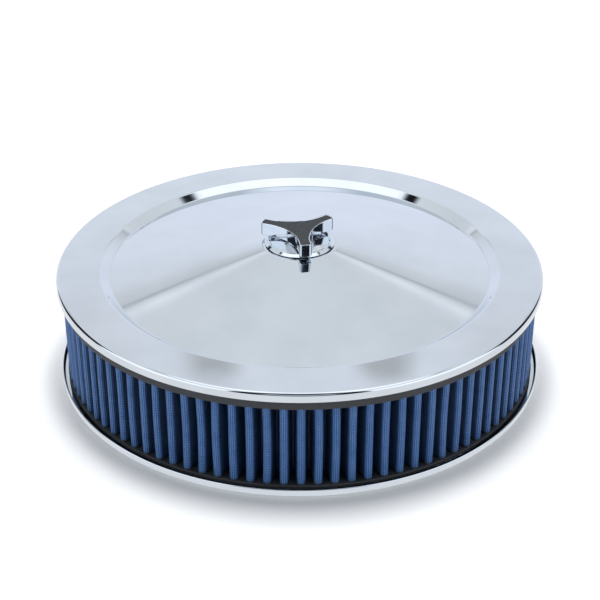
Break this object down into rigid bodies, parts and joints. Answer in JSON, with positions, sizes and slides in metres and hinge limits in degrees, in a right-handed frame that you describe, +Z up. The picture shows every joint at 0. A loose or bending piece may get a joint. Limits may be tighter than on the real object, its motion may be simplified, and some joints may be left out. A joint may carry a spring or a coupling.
{
  "type": "carburetor air cleaner",
  "caption": "Round chromed carburetor air cleaner: dished lid, drop base and pleated gauze element, held by a three-armed wing nut on a stud.",
  "frame": {"origin": "centre of the ring that the base pan stands on", "axes": "+Z up along the stud from the base to the wing nut; -Y towards the front of the pictured view"},
  "size_m": [0.358, 0.358, 0.1082],
  "materials": {
    "lid_chrome": "polished chrome plate on pressed steel",
    "pan_chrome": "polished chrome plate on pressed steel",
    "nut_chrome": "polished chrome plate on a zinc casting",
    "blue_wire_cloth": "fine epoxy-coated wire cloth over blue gauze",
    "inner_wire": "fine epoxy-coated wire cloth",
    "blue_gauze": "oiled cotton gauze",
    "seal_rubber": "soft moulded seal, satin",
    "gasket_rubber": "sheet rubber",
    "plated_steel": "zinc-plated steel",
    "clip_steel": "folded steel strip",
    "face_inlay": "dark grey with a fine grain"
  },
  "bodies": {
    "housing": {"lid": "lid_chrome", "base_pan": "pan_chrome", "outer_wire_cloth": "blue_wire_cloth", "cotton_gauze": "blue_gauze", "inner_wire_cloth": "inner_wire", "pack_clip": "clip_steel", "top_seal": "seal_rubber", "bottom_seal": "seal_rubber", "neck_gasket": "gasket_rubber", "stud": "plated_steel", "breather_fitting": "plated_steel", "breather_gasket": "gasket_rubber", "breather_nut": "plated_steel"},
    "washer": {"nut_washer": "gasket_rubber"},
    "nut": {"wing_nut": "nut_chrome", "nut_face_inlay": "face_inlay"}
  },
  "joints": [
    {"name": "nut_lift", "type": "slide", "parent": "housing", "child": "washer", "axis": [0, 0, 1], "range_m": [0, 0.00826]},
    {"name": "nut_spin", "type": "hinge", "parent": "washer", "child": "nut", "pos_m": [0, 0, 0.1], "axis": [0, 0, 1], "range_deg": [0, 2340]}
  ],
  "couplings": [
    {"joint": "nut_lift", "follows": "nut_spin", "m_per_rad": 0.00020213}
  ]
}
